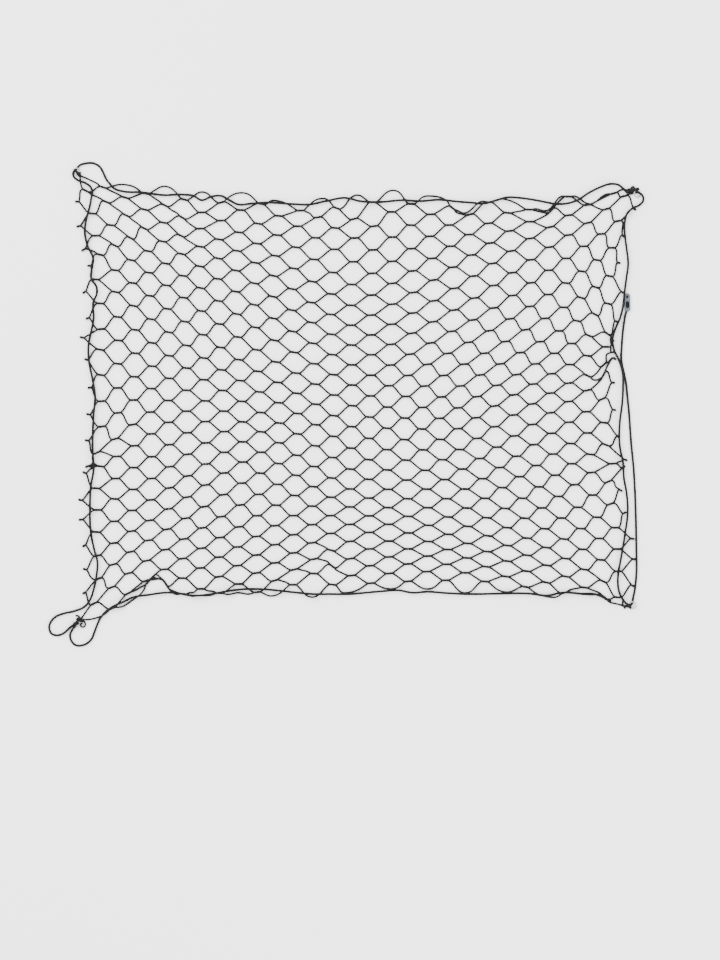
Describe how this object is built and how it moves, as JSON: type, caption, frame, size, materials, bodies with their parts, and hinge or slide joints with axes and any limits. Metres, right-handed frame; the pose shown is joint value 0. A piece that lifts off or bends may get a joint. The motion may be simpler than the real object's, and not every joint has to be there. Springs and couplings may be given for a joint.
{
  "type": "divider net",
  "caption": "Flat knotless mesh net with a threaded edge cord, a ring lashed to each corner and a small cord lock, laid out to be hung as a divider.",
  "frame": {"origin": "middle of the net's bounding box at the surface that it lies on", "axes": "+X along the net's long side, +Y up its short side, +Z off the surface"},
  "size_m": [1.281, 1.0411, 0.0176],
  "materials": {
    "black_twine": "matt twisted twine",
    "black_cord": "matt braided rope",
    "black_yarn": "matt yarn",
    "nickel": "bright nickel plate",
    "grey_plastic": "smooth, slightly translucent"
  },
  "bodies": {
    "root": {"net": "black_twine", "cord_right_outer": "black_cord", "cord_right_inner": "black_cord", "cord_top": "black_cord", "cord_left": "black_cord", "cord_bottom": "black_cord", "cord_end_knot": "black_cord", "ring_top_left": "nickel", "ring_top_right": "nickel", "ring_bottom_right": "nickel", "ring_bottom_left": "nickel", "lashing_top_left": "black_yarn", "lashing_top_right": "black_yarn", "lashing_bottom_right": "black_yarn", "lashing_bottom_left": "black_yarn", "cord_lock": "grey_plastic"}
  },
  "joints": []
}
